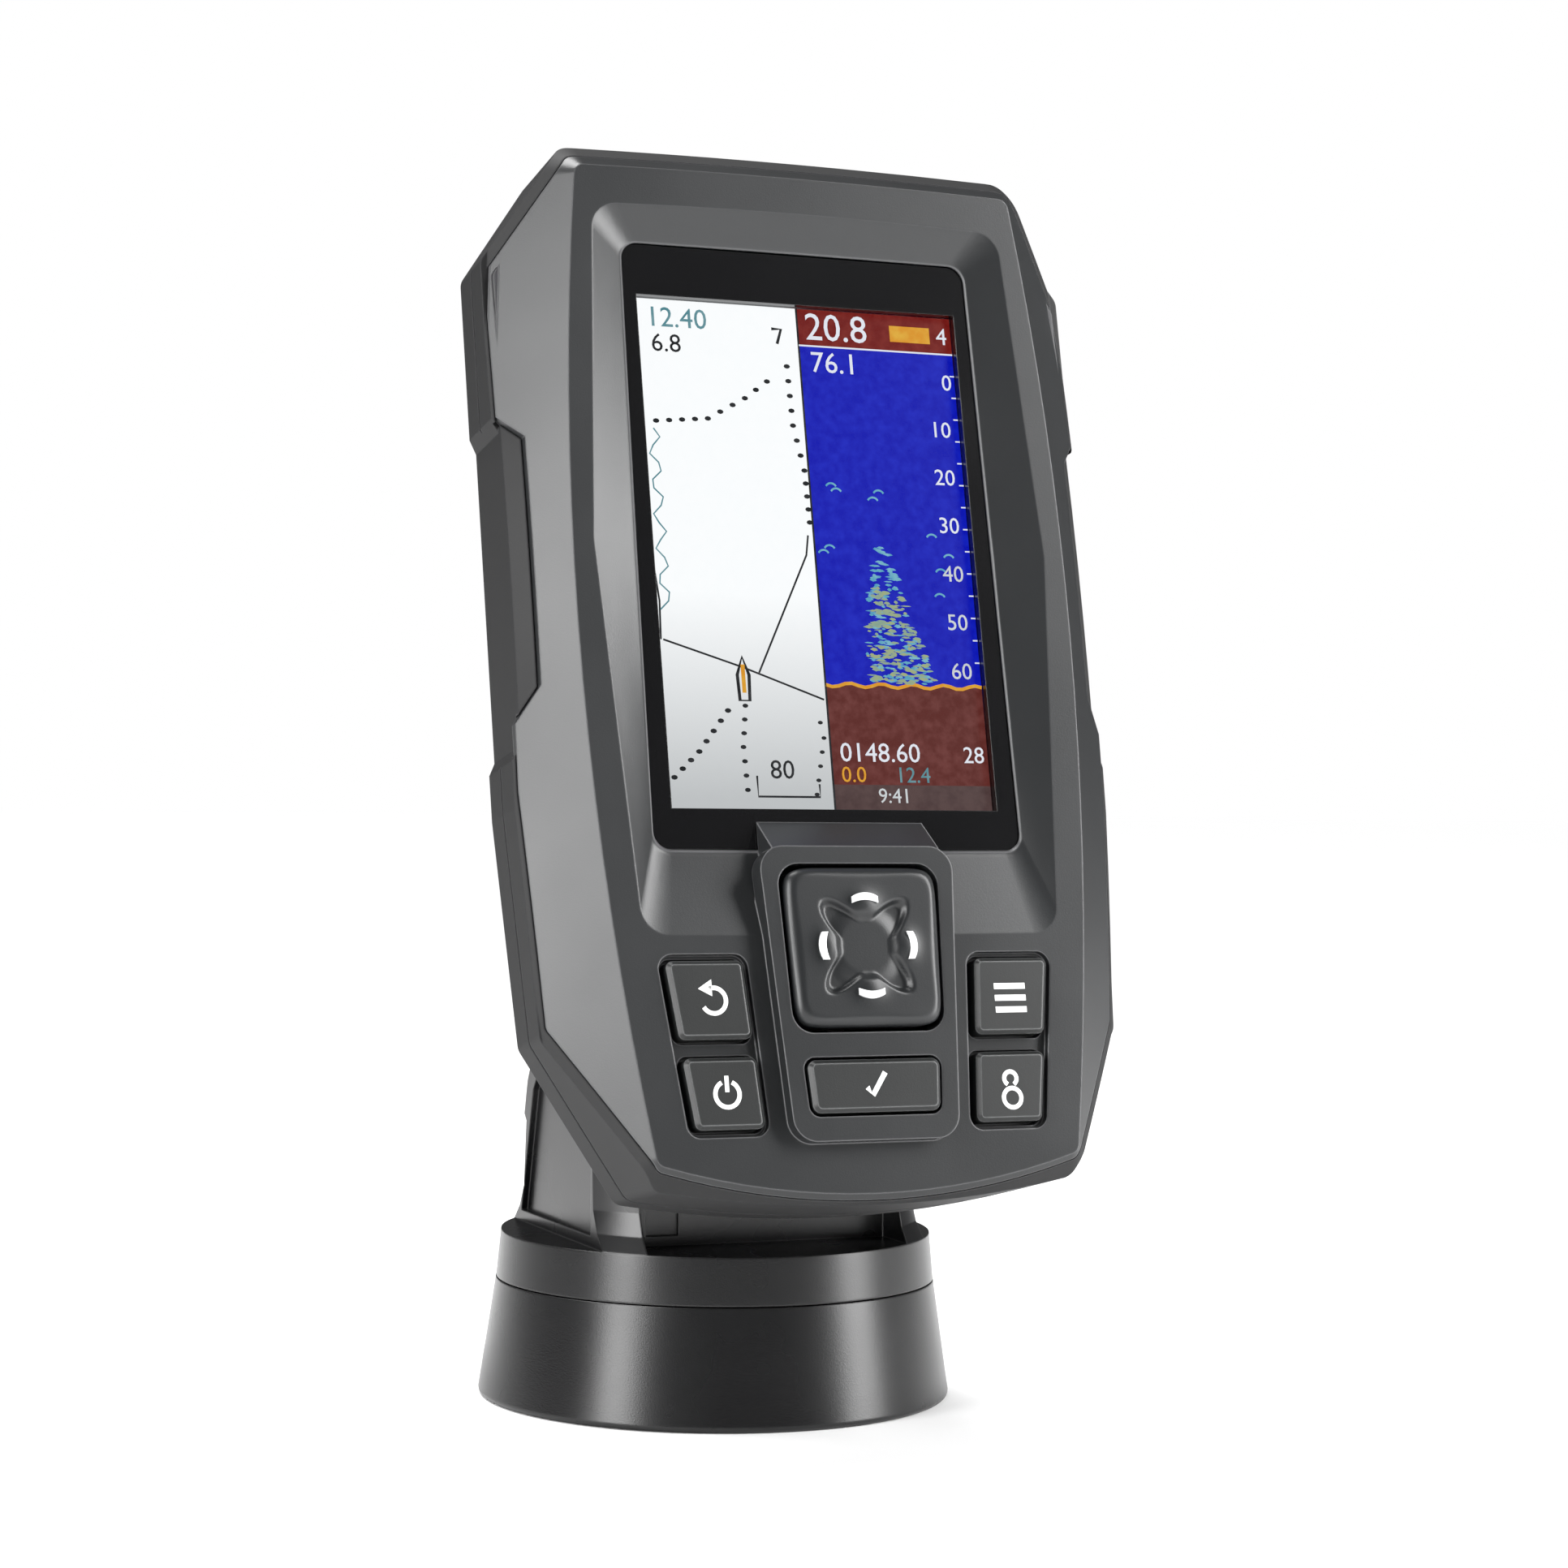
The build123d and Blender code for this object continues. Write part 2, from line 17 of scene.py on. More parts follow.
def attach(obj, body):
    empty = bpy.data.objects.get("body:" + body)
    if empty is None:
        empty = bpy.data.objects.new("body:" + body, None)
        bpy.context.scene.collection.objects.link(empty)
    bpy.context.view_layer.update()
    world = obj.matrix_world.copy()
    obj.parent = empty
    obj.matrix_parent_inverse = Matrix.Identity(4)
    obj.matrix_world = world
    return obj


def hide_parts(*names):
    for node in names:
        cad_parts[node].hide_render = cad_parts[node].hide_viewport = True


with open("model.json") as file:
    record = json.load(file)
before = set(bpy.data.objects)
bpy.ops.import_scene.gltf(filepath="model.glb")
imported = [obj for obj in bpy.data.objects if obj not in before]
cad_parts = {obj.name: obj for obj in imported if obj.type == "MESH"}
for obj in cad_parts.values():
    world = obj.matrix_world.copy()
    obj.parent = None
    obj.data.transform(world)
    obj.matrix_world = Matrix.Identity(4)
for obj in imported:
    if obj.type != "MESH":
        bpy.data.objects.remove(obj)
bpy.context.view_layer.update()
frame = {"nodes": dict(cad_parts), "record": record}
nodes = frame["nodes"]
joints = {j["name"]: j for j in frame["record"]["behaviour"]["joints"]}
MM = 0.001

# The head's own frame, from its joints
DEPTH = Vector(joints["ok_press"]["axis"]).normalized()
UP = Vector(joints["dpad_rock_left_right"]["axis"]).normalized()
RIGHT = Vector((1.0, 0.0, 0.0))
GIMBAL_Y, GIMBAL_Z = 4.0, -57.5
gimbal = Vector(joints["dpad_rock_up_down"]["pos_m"])
ORIGIN = gimbal - DEPTH * GIMBAL_Y * MM - UP * GIMBAL_Z * MM

SCREEN_W, SCREEN_H = 49.3, 73.96
SCREEN_Y = 4.0               # depth of the picture behind the front face
LENS_Y = 2.86
KEY_Y = -1.0                 # front of the side keys
OK_Y = -3.0
DPAD_Y = -3.4


def at(x, y, z):
    """A point of the head, in metres, in the shared frame."""
    return ORIGIN + (RIGHT * x + DEPTH * y + UP * z) * MM


# ------------------------------------------------------------------ materials
class Nodes:
    """One material and the nodes that feed its shader."""

    def __init__(self, name):
        self.material = bpy.data.materials.new(name)
        self.material.use_nodes = True
        self.tree = self.material.node_tree
        self.shader = self.tree.nodes["Principled BSDF"]

    def add(self, kind, **inputs):
        """A node with its inputs set or linked. An underscore in a name stands for a space."""
        made = self.tree.nodes.new(kind)
        for key, value in inputs.items():
            self.feed(made, key.replace("_", " "), value)
        return made

    def feed(self, target, key, value):
        """Set or link one input, given by its name or number."""
        socket = target.inputs[key]
        if isinstance(value, bpy.types.NodeSocket):
            self.tree.links.new(value, socket)
        else:
            socket.default_value = value

    def mapped(self, low, high, fac):
        """A value that runs from `low` to `high` as fac runs from 0 to 1."""
        made = self.add("ShaderNodeMapRange", Value=fac)
        made.inputs["To Min"].default_value = low
        made.inputs["To Max"].default_value = high
        return made.outputs["Result"]

    def blend(self, a, b, fac):
        """Mix two colours."""
        made = self.tree.nodes.new("ShaderNodeMix")
        made.data_type = "RGBA"
        for index, value in ((0, fac), (6, a), (7, b)):
            if isinstance(value, bpy.types.NodeSocket):
                self.tree.links.new(value, made.inputs[index])
            else:
                made.inputs[index].default_value = value
        return made.outputs[2]


def moulded(name, colour, edge, rough, grain=0.00022, bump=0.25, round_mm=0.35, metallic=0.0,
            coat=0.0):
    """Moulded or turned surface: fine grain, slow colour drift, softened and worn edges."""
    n = Nodes(name)
    place = n.add("ShaderNodeTexCoord").outputs["Object"]
    fine = n.add("ShaderNodeTexNoise", Vector=place, Scale=1.0 / grain, Detail=2.0)
    slow = n.add("ShaderNodeTexNoise", Vector=place, Scale=38.0, Detail=3.0)
    rounded = n.add("ShaderNodeBevel", Radius=round_mm * MM)
    rounded.samples = 6
    flat = n.add("ShaderNodeNewGeometry").outputs["Normal"]
    match = n.add("ShaderNodeVectorMath")
    match.operation = "DOT_PRODUCT"
    n.feed(match, 0, rounded.outputs["Normal"])
    n.feed(match, 1, flat)
    worn = n.add("ShaderNodeMapRange", Value=match.outputs["Value"])
    worn.inputs["From Min"].default_value = 0.995
    worn.inputs["From Max"].default_value = 0.86
    base = (*[c * 0.88 for c in colour], 1.0)
    light = (*[min(1.0, c * 1.14) for c in colour], 1.0)
    drift = n.blend(base, light, slow.outputs["Fac"])
    speck = n.blend(drift, (*[c * 0.8 for c in colour], 1.0),
                    n.mapped(0.0, 0.35, fine.outputs["Fac"]))
    n.feed(n.shader, "Base Color", n.blend(speck, (*edge, 1.0), worn.outputs["Result"]))
    n.feed(n.shader, "Roughness", n.mapped(rough - 0.05, rough + 0.07, slow.outputs["Fac"]))
    dent = n.add("ShaderNodeBump", Strength=bump, Distance=0.00004,
                 Height=fine.outputs["Fac"], Normal=rounded.outputs["Normal"])
    n.feed(n.shader, "Normal", dent.outputs["Normal"])
    n.shader.inputs["Metallic"].default_value = metallic
    n.shader.inputs["Coat Weight"].default_value = coat
    n.shader.inputs["Coat Roughness"].default_value = 0.12
    return n.material


def lit(name, colour, strength, mottled=0.0, other=None, foot=None):
    """A part of the lit picture, with the fine mottling of its pixels under a gloss. With
    `foot`, it fades to that colour towards its lower edge."""
    n = Nodes(name)
    place = n.add("ShaderNodeTexCoord").outputs["Object"]
    fine = n.add("ShaderNodeTexNoise", Vector=place, Scale=700.0, Detail=4.0)
    mark = n.add("ShaderNodeMapRange", Value=fine.outputs["Fac"])
    mark.inputs["From Min"].default_value = 0.4
    mark.inputs["From Max"].default_value = 0.7
    mark.inputs["To Max"].default_value = mottled
    shown = n.blend((*colour, 1.0), (*(other or colour), 1.0), mark.outputs["Result"])
    if foot:
        spread = n.add("ShaderNodeSeparateXYZ")
        n.feed(spread, 0, n.add("ShaderNodeTexCoord").outputs["Generated"])
        fade = n.add("ShaderNodeMapRange", Value=spread.outputs["Z"])
        fade.inputs["From Min"].default_value = 0.02
        fade.inputs["From Max"].default_value = 0.42
        shown = n.blend((*foot, 1.0), shown, fade.outputs["Result"])
    n.feed(n.shader, "Emission Color", shown)
    n.shader.inputs["Emission Strength"].default_value = strength
    n.feed(n.shader, "Base Color", n.blend((0.0, 0.0, 0.0, 1.0), (0.01, 0.01, 0.01, 1.0),
                                           fine.outputs["Fac"]))
    n.shader.inputs["Roughness"].default_value = 0.25
    n.shader.inputs["Specular IOR Level"].default_value = 0.12
    return n.material


SHELL = moulded("shell plastic", (0.018, 0.019, 0.020), (0.14, 0.14, 0.145), 0.33)
HOUSING = moulded("housing plastic", (0.003, 0.003, 0.0035), (0.02, 0.02, 0.022), 0.62)
STAND = moulded("stand plastic", (0.003, 0.003, 0.0035), (0.02, 0.02, 0.02), 0.27)
KEYS = moulded("key silicone", (0.010, 0.011, 0.011), (0.22, 0.225, 0.225), 0.40)
DPAD = moulded("pad silicone", (0.012, 0.013, 0.014), (0.08, 0.08, 0.08), 0.36, round_mm=0.12)
SEALS = moulded("seal silicone", (0.06, 0.06, 0.065), (0.09, 0.09, 0.09), 0.6)
BORDER = moulded("printed lens border", (0.002, 0.002, 0.0025), (0.02, 0.02, 0.02), 0.12,
                 bump=0.0, round_mm=0.15, coat=1.0)
STEEL = moulded("stainless steel", (0.42, 0.42, 0.43), (0.6, 0.6, 0.6), 0.3, metallic=1.0)
SHEET = moulded("stamped steel", (0.52, 0.52, 0.53), (0.7, 0.7, 0.7), 0.38, metallic=1.0)
BRASS = moulded("gold plating", (0.78, 0.58, 0.26), (0.9, 0.75, 0.4), 0.25, metallic=1.0)
NYLON = moulded("natural nylon", (0.62, 0.62, 0.6), (0.7, 0.7, 0.68), 0.5)
WHITE_PLASTIC = moulded("white plastic", (0.7, 0.71, 0.72), (0.8, 0.8, 0.8), 0.45)
BOARD = moulded("solder mask", (0.012, 0.12, 0.05), (0.1, 0.2, 0.1), 0.3)
CHIP = moulded("component body", (0.014, 0.014, 0.014), (0.06, 0.06, 0.06), 0.5)
CAN = moulded("aluminium can", (0.68, 0.68, 0.7), (0.8, 0.8, 0.8), 0.3, metallic=1.0)
CERAMIC = moulded("antenna ceramic", (0.62, 0.55, 0.42), (0.7, 0.65, 0.5), 0.55)
FILM = moulded("ribbon film", (0.45, 0.2, 0.03), (0.5, 0.3, 0.1), 0.3)
LEGEND = moulded("legend print", (0.82, 0.83, 0.82), (0.9, 0.9, 0.9), 0.5, round_mm=0.05)
# Bright half-metal for the crescents on the D-pad's thumb rests: a painted highlight that stands
# for their gloss.
PAD_HIGHLIGHT = moulded("painted pad highlight", (0.80, 0.81, 0.82), (0.95, 0.95, 0.95), 0.25,
                 round_mm=0.2, metallic=0.3)

FINISH = {
    "shell_plastic": SHELL, "housing_plastic": HOUSING, "stand_plastic": STAND,
    "detent_plastic": NYLON, "key_rubber": KEYS, "mat_rubber": SEALS, "lens": BORDER,
    "screen": BORDER, "backlight_plastic": WHITE_PLASTIC, "sheet_steel": SHEET,
    "screw_steel": STEEL, "washer_plastic": NYLON, "board_green": BOARD,
    "component_black": CHIP, "capacitor_can": CAN, "antenna_ceramic": CERAMIC,
    "contact_brass": BRASS, "ribbon_film": FILM,
}
for part in frame["record"]["subparts"]:
    mesh = nodes[part["node"]].data
    mesh.materials.clear()
    mesh.materials.append(FINISH[part["material_slot"]])


# ------------------------------------------------------------------ mesh helpers
def piece(name, mesh, material, body):
    """Add a mesh to the scene as a piece that rides on a body."""
    mesh.materials.append(material)
    made = bpy.data.objects.new(name, mesh)
    bpy.context.scene.collection.objects.link(made)
    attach(made, body)
    return made


def rounded(points, radius, steps=5):
    """The outline with each corner replaced by an arc of about `radius`."""
    result = []
    count = len(points)
    for i, corner in enumerate(points):
        here = Vector(corner)
        before = (Vector(points[i - 1]) - here).normalized()
        after = (Vector(points[(i + 1) % count]) - here).normalized()
        half = before.angle(after) / 2
        start = here + before * radius / math.tan(half)
        end = here + after * radius / math.tan(half)
        for k in range(steps + 1):
            t = k / steps
            result.append(tuple(start * (1 - t) ** 2 + here * 2 * t * (1 - t) + end * t ** 2))
    return result


def strip(points, width, closed=False):
    """The quads of a line of even width through `points`."""
    count = len(points)
    sides = []
    for i, point in enumerate(points):
        here = Vector(point)
        ahead = Vector(points[(i + 1) % count]) if closed or i < count - 1 else here
        behind = Vector(points[i - 1]) if closed or i > 0 else here
        along = (ahead - behind).normalized()
        out = Vector((-along.y, along.x)) * width / 2
        sides.append((here + out, here - out))
    last = count if closed else count - 1
    return [(sides[i][0], sides[i][1], sides[(i + 1) % count][1], sides[(i + 1) % count][0])
            for i in range(last)]


def relief(name, shapes, front, thick, material, body):
    """Flat shapes (lists of x, z) standing from depth `front` back by `thick`."""
    bm = bmesh.new()
    for shape in shapes:
        low = [bm.verts.new(at(p[0], front + thick, p[1])) for p in shape]
        bm.faces.new(low)
    bmesh.ops.remove_doubles(bm, verts=bm.verts, dist=1e-7)
    lifted = bmesh.ops.extrude_face_region(bm, geom=bm.faces[:])["geom"]
    for item in lifted:
        if isinstance(item, bmesh.types.BMVert):
            item.co -= DEPTH * thick * MM
    bmesh.ops.recalc_face_normals(bm, faces=bm.faces)
    mesh = bpy.data.meshes.new(name)
    bm.to_mesh(mesh)
    bm.free()
    return piece(name, mesh, material, body)


def number(name, text, x, z, size, material, front=SCREEN_Y - 0.1):
    """Digits on the display, read from the front, from their lower left corner."""
    curve = bpy.data.curves.new(name, "FONT")
    curve.body = text
    curve.size = size
    curve.extrude = 0.02
    curve.resolution_u = 3
    holder = bpy.data.objects.new(name, curve)
    mesh = bpy.data.meshes.new_from_object(holder)
    bpy.data.objects.remove(holder)
    for vertex in mesh.vertices:
        vertex.co = at(x + vertex.co.x, front - vertex.co.z, z + vertex.co.y)
    mesh.materials.clear()
    return piece(name, mesh, material, "head")


def ring_points(x, z, radius, start, end, steps=20):
    """Points of an arc, angles in degrees anticlockwise from +x."""
    return [(x + radius * math.cos(math.radians(start + (end - start) * k / steps)),
             z + radius * math.sin(math.radians(start + (end - start) * k / steps)))
            for k in range(steps + 1)]


# ------------------------------------------------------------------ lens border
LENS_CORNERS = [(-26.7, 44.5), (-27.85, -42.85), (27.85, -42.85), (26.7, 44.5)]
LENS_ROUND = 2.6
WINDOW_GAP = 0.15            # between the picture and the edge of the border
outer = rounded(LENS_CORNERS, LENS_ROUND, 8)
half_w, half_h = SCREEN_W / 2 + WINDOW_GAP, SCREEN_H / 2 + WINDOW_GAP
window = [(-half_w, half_h), (-half_w, -half_h), (half_w, -half_h), (half_w, half_h)]
bm = bmesh.new()
loops = {}
for label, points, front in (("face", outer, LENS_Y), ("rim", window, LENS_Y),
                             ("base", window, SCREEN_Y + 0.2)):
    loops[label] = [bm.verts.new(at(p[0], front, p[1])) for p in points]
per_corner = len(outer) // 4
for side in range(4):
    nxt = (side + 1) % 4
    corner = loops["face"][side * per_corner:(side + 1) * per_corner]
    for a, b in zip(corner, corner[1:]):
        bm.faces.new((a, b, loops["rim"][side]))
    bm.faces.new((corner[-1], loops["face"][nxt * per_corner], loops["rim"][nxt],
                  loops["rim"][side]))
    bm.faces.new((loops["rim"][side], loops["rim"][nxt], loops["base"][nxt],
                  loops["base"][side]))
bmesh.ops.recalc_face_normals(bm, faces=bm.faces)
mesh = bpy.data.meshes.new("lens_border")
bm.to_mesh(mesh)
bm.free()
border = piece("lens_border", mesh, BORDER, "head")
thicken = border.modifiers.new("thickness", "SOLIDIFY")
thicken.thickness = 0.05 * MM
thicken.offset = 0.0
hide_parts("display_lens")

# ------------------------------------------------------------------ the picture
WHITE = lit("chart white", (0.95, 0.97, 0.98), 1.0, 0.2, (0.86, 0.9, 0.92),
            foot=(0.50, 0.52, 0.53))
PALE = lit("chart shallows", (0.62, 0.66, 0.68), 0.9, 0.5, (0.8, 0.83, 0.85))
INK = lit("chart ink", (0.02, 0.025, 0.03), 0.4, 0.5, (0.08, 0.08, 0.09))
TEAL = lit("chart teal", (0.10, 0.32, 0.38), 0.7, 0.6, (0.3, 0.5, 0.55))
BLUE = lit("sonar blue", (0.0, 0.004, 0.42), 1.0, 0.35, (0.0, 0.02, 0.62))
RED = lit("sonar red bar", (0.17, 0.006, 0.004), 0.9, 0.5, (0.26, 0.02, 0.01))
BROWN = lit("sonar bottom", (0.115, 0.020, 0.016), 0.9, 0.8, (0.17, 0.04, 0.035))
DIM = lit("sonar lower bottom", (0.10, 0.060, 0.058), 0.9, 0.8, (0.06, 0.03, 0.03))
AMBER = lit("sonar amber", (0.75, 0.32, 0.02), 0.9, 0.6, (0.8, 0.5, 0.05))
CYAN = lit("echo cyan", (0.10, 0.38, 0.55), 0.9, 0.7, (0.3, 0.6, 0.65))
OLIVE = lit("echo yellow", (0.42, 0.50, 0.26), 0.8, 0.7, (0.2, 0.4, 0.4))
DIGIT = lit("digit white", (0.75, 0.78, 0.85), 1.0, 0.3, (0.6, 0.65, 0.75))
SPLIT = 0.503                # where the chart ends and the sonar begins
BAR = 0.075                  # depth of the red bar
BOTTOM = 0.755               # where the lake bottom begins
LAYER = 0.03                 # step between the layers of the picture
INK_THICK = 0.02


def shown(u, v):
    """A point of the picture from fractions across and down."""
    return ((u - 0.5) * SCREEN_W, (0.5 - v) * SCREEN_H)


def printed(name, shapes, material, layer):
    """Shapes of the picture, each layer a little in front of the one before."""
    front = SCREEN_Y - LAYER * layer
    return relief(name, shapes, front, INK_THICK, material, "head")


def panel(name, u0, v0, u1, v1, material, layer=0):
    """A rectangle of the picture."""
    corners = [shown(u0, v0), shown(u0, v1), shown(u1, v1), shown(u1, v0)]
    return printed(name, [corners], material, layer)


def line(name, places, width, material, layer=2, closed=False):
    """A line of the picture."""
    points = [shown(*p) for p in places]
    return printed(name, strip(points, width, closed), material, layer)


def dots(name, places, size, material, layer=2):
    """A dotted track through the given places."""
    shapes = []
    for a, b in zip(places, places[1:]):
        length = math.dist(shown(*a), shown(*b))
        steps = max(1, round(length / 2.1))
        for k in range(steps):
            x, z = shown(a[0] + (b[0] - a[0]) * k / steps, a[1] + (b[1] - a[1]) * k / steps)
            shapes.append([(x + size * math.cos(i * math.pi / 4),
                            z + size * 0.7 * math.sin(i * math.pi / 4)) for i in range(8)])
    return printed(name, shapes, material, layer)


chart = panel("chart_water", 0, 0, SPLIT, 1, WHITE)
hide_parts("lcd_panel")
panel("sonar_water", SPLIT, BAR, 1, BOTTOM, BLUE)
panel("sonar_bar", SPLIT, 0, 1, BAR, RED)
panel("sonar_bottom", SPLIT, BOTTOM, 1, 0.95, BROWN)
panel("sonar_deep", SPLIT, 0.95, 1, 1, DIM)
panel("bar_gauge", 0.80, 0.022, 0.93, 0.055, AMBER, 1)
line("bar_rule", [(SPLIT, BAR), (1, BAR)], 0.25, DIGIT)
line("split_rule", [(SPLIT, 0), (SPLIT, 1)], 0.3, INK)
dots("track_top", [(0.04, 0.245), (0.2, 0.235), (0.32, 0.19), (0.43, 0.135)], 0.5, INK)
dots("track_side", [(0.46, 0.12), (0.465, 0.24), (0.49, 0.33), (0.495, 0.46)], 0.5, INK)
dots("track_low", [(0.02, 0.94), (0.1, 0.89), (0.22, 0.79)], 0.5, INK)
dots("track_home", [(0.25, 0.80), (0.235, 0.88), (0.24, 0.99)], 0.45, INK)
dots("track_edge", [(0.45, 0.97), (0.485, 0.86), (0.47, 0.80)], 0.4, INK)
line("route_up", [(0.485, 0.46), (0.475, 0.50), (0.30, 0.735)], 0.28, INK)
line("route_out", [(0.015, 0.675), (0.25, 0.725), (0.495, 0.785)], 0.28, INK)
line("route_edge", [(0.0, 0.52), (0.012, 0.60), (0.008, 0.675)], 0.28, INK)
shore = [(0.03 + 0.018 * math.sin(k * 1.7), 0.26 + 0.017 * k) for k in range(22)]
line("shore_line", shore, 0.22, TEAL)
line("boat_hull", [(0.235, 0.79), (0.232, 0.74), (0.25, 0.705), (0.268, 0.74), (0.265, 0.79)],
     0.5, INK, 3, True)
line("boat_mark", [(0.25, 0.72), (0.25, 0.775)], 0.6, AMBER, 4)
line("scale_bar", [(0.27, 0.935), (0.27, 0.975), (0.46, 0.975), (0.46, 0.95)], 0.3, INK)
line("north_mark", [(0.42, 0.045), (0.45, 0.045), (0.435, 0.075)], 0.45, INK)
for label, text, u, v, size, ink in (
        ("chart_reading", "12.40", 0.03, 0.055, 4.2, TEAL),
        ("chart_speed", "6.8", 0.04, 0.105, 3.8, INK),
        ("chart_range", "80", 0.31, 0.94, 3.8, INK),
        ("sonar_depth", "20.8", 0.525, 0.062, 5.8, DIGIT),
        ("sonar_temp", "76.1", 0.535, 0.128, 4.4, DIGIT),
        ("bar_digits", "4", 0.95, 0.055, 3.6, DIGIT),
        ("low_reading", "0148.60", 0.53, 0.905, 3.9, DIGIT),
        ("low_speed", "0.0", 0.53, 0.945, 3.2, AMBER),
        ("low_volts", "12.4", 0.70, 0.945, 3.2, TEAL),
        ("low_depth", "28", 0.92, 0.905, 3.4, DIGIT),
        ("low_time", "9:41", 0.64, 0.985, 3.0, PALE)):
    number(label, text, *shown(u, v), size, ink)
for k in range(7):
    ink = DIGIT if k < 4 else PALE
    place = shown(0.955 if k == 0 else 0.905, 0.15 + 0.098 * k)
    number(f"depth_{k}", str(10 * k), *place, 3.4, ink)
ticks = []
for k in range(14):
    level = 0.12 + 0.045 * k
    ticks += strip([shown(0.985, level), shown(1, level)], 0.2)
printed("depth_ticks", ticks, DIGIT, 2)

random.seed(7)
echo = {"cyan": [], "olive": [], "fish": []}
for k in range(330):
    v = 0.47 + 0.28 * math.sqrt(random.random())
    spread = 0.018 + 0.34 * max(0.0, v - 0.47)
    u = 0.735 + 0.02 * math.sin(9 * v) + random.uniform(-1, 1) * spread
    x, z = shown(u, v)
    wide, high = random.uniform(0.3, 0.95), random.uniform(0.1, 0.3)
    flake = [(x - wide, z), (x - wide * 0.3, z + high), (x + wide * 0.6, z + high * 0.6),
             (x + wide, z - high * 0.5), (x, z - high)]
    echo["olive" if v > 0.56 and random.random() < 0.55 else "cyan"].append(flake)
for u, v in ((0.57, 0.365), (0.585, 0.375), (0.70, 0.39), (0.72, 0.375), (0.55, 0.49),
             (0.53, 0.50), (0.88, 0.46), (0.90, 0.53), (0.93, 0.50), (0.89, 0.58)):
    x, z = shown(u, v)
    echo["fish"] += strip(ring_points(x, z, 0.9, 30, 150, 6), 0.28)
printed("echo_cyan", echo["cyan"], CYAN, 2)
printed("echo_yellow", echo["olive"], OLIVE, 3)
printed("echo_fish", echo["fish"], CYAN, 3)
lake = [(SPLIT + (1 - SPLIT) * k / 24, BOTTOM + 0.004 * math.sin(k * 1.3)) for k in range(25)]
line("lake_floor", lake, 0.5, AMBER)

# ------------------------------------------------------------------ D-pad
PAD_TOP, PAD_LOW = -46.5, -68.5
PAD_MIDDLE = (PAD_TOP + PAD_LOW) / 2
RINGS, SPOKES = 46, 144


def pad_edge(angle):
    """Distance from the middle to the pad's rounded edge at an angle."""
    c, s = abs(math.cos(angle)), abs(math.sin(angle))
    half_z = (PAD_TOP - PAD_LOW) / 2
    half_x = 11.1 + 0.4 * math.sin(angle)
    return 1.0 / ((c / half_x) ** 9 + (s / half_z) ** 9) ** (1 / 9)


def smooth(low, high, value):
    """0 below `low`, 1 above `high`, easing between."""
    t = min(1.0, max(0.0, (value - low) / (high - low)))
    return t * t * (3 - 2 * t)


def pad_depth(angle, radius, edge):
    """Depth of the pad's face: rolled edge, four raised thumb rests, a four-lobed dish."""
    rolled = 0.9 * (1 - math.sqrt(max(0.0, 1 - smooth(edge - 1.9, edge, radius) ** 2)))
    lobe = 4.1 + 4.3 * abs(math.sin(2 * angle)) ** 5
    inside = 1 - smooth(lobe - 0.75, lobe + 0.75, radius)
    sunk = inside * (0.55 + 0.45 * smooth(3.6, 6.4, radius))
    rest = 0.45 * math.exp(-((radius - 5.9) / 1.7) ** 2) * abs(math.cos(2 * angle)) ** 4
    return DPAD_Y + rolled + sunk - rest * (1 - inside)


bm = bmesh.new()
hub = bm.verts.new(at(0, pad_depth(0, 0, 11), PAD_MIDDLE))
rows = []
for ring in range(1, RINGS + 2):
    row = []
    for spoke in range(SPOKES):
        angle = 2 * math.pi * spoke / SPOKES
        edge = pad_edge(angle)
        share = min(ring, RINGS) / RINGS
        radius = edge * share
        y = pad_depth(angle, radius, edge) if ring <= RINGS else 0.6
        row.append(bm.verts.new(at(radius * math.cos(angle), y,
                                   PAD_MIDDLE + radius * math.sin(angle))))
    rows.append(row)
for k in range(SPOKES):
    bm.faces.new((hub, rows[0][k], rows[0][(k + 1) % SPOKES]))
for a, b in zip(rows, rows[1:]):
    for k in range(SPOKES):
        bm.faces.new((a[k], b[k], b[(k + 1) % SPOKES], a[(k + 1) % SPOKES]))
bm.faces.new(list(reversed(rows[-1])))
bmesh.ops.recalc_face_normals(bm, faces=bm.faces)
for f in bm.faces:
    f.smooth = len(f.verts) < 6
mesh = bpy.data.meshes.new("dpad_sculpted")
bm.to_mesh(mesh)
bm.free()
pad = piece("dpad_sculpted", mesh, DPAD, "dpad_cap")
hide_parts("dpad_cap")
# Four bright crescents, one on each thumb rest: painted highlights of the rests' gloss.
for k, label in enumerate(("right", "up", "left", "down")):
    turn = math.radians(90 * k)
    crescent = ring_points(0, 0, 3.6, -32, 32, 12) + ring_points(-2.2, 0, 4.75, 24, -24, 12)
    shape = []
    for x, z in crescent:
        x += 3.75
        shape.append((x * math.cos(turn) - z * math.sin(turn),
                      PAD_MIDDLE + x * math.sin(turn) + z * math.cos(turn)))
    relief(f"pad_highlight_{label}", [shape], DPAD_Y - 0.52, 0.75, PAD_HIGHLIGHT, "dpad_cap")

# ------------------------------------------------------------------ key legends
LINE = 0.62                  # width of a legend's strokes
THICK = 0.06


def legend(name, shapes, body, front):
    """A printed legend on a key."""
    return relief(name, shapes, front - 0.03, THICK, LEGEND, body)


